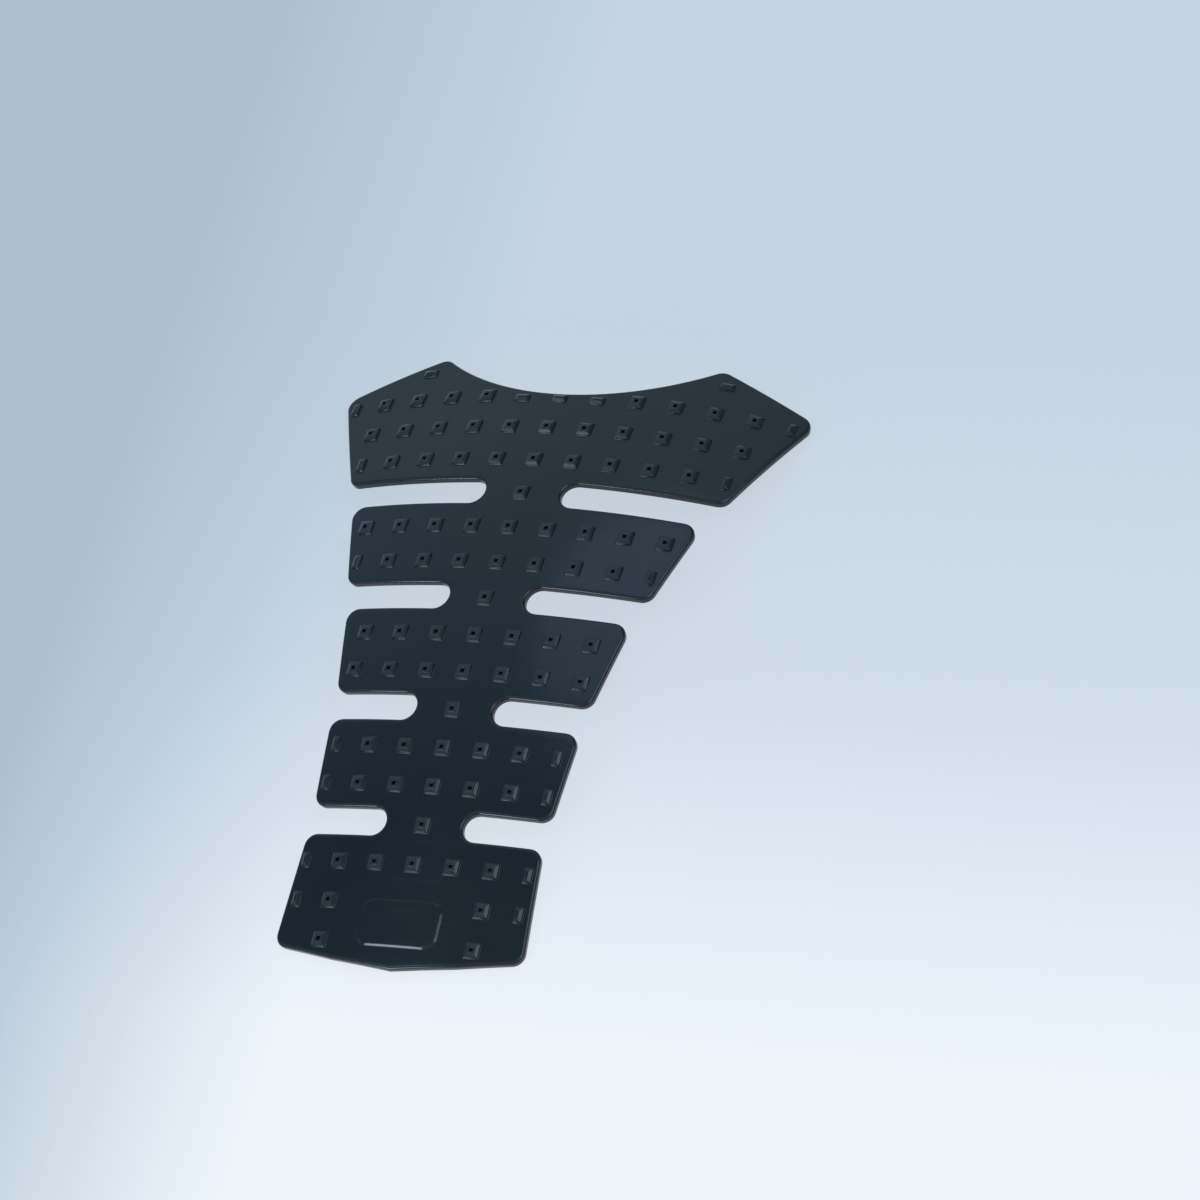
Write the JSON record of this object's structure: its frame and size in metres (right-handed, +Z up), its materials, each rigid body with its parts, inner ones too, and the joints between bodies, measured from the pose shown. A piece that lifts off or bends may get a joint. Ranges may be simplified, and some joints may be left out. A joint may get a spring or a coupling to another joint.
{
  "type": "motorcycle tank pad",
  "caption": "Flexible gloss black grip pad for a fuel tank: a narrow spine carries rounded ribs and a horned end block, all with square studs, curved to fit the tank.",
  "frame": {"origin": "middle of the pad's box at the level of what it lies on, under its side tips and lower corners", "axes": "+X across the pad, +Y along its spine towards the horned end, +Z up, away from the tank"},
  "size_m": [0.1526, 0.2062, 0.02],
  "materials": {
    "pad": "gloss"
  },
  "bodies": {
    "root": {"tank_pad": "pad"}
  },
  "joints": []
}
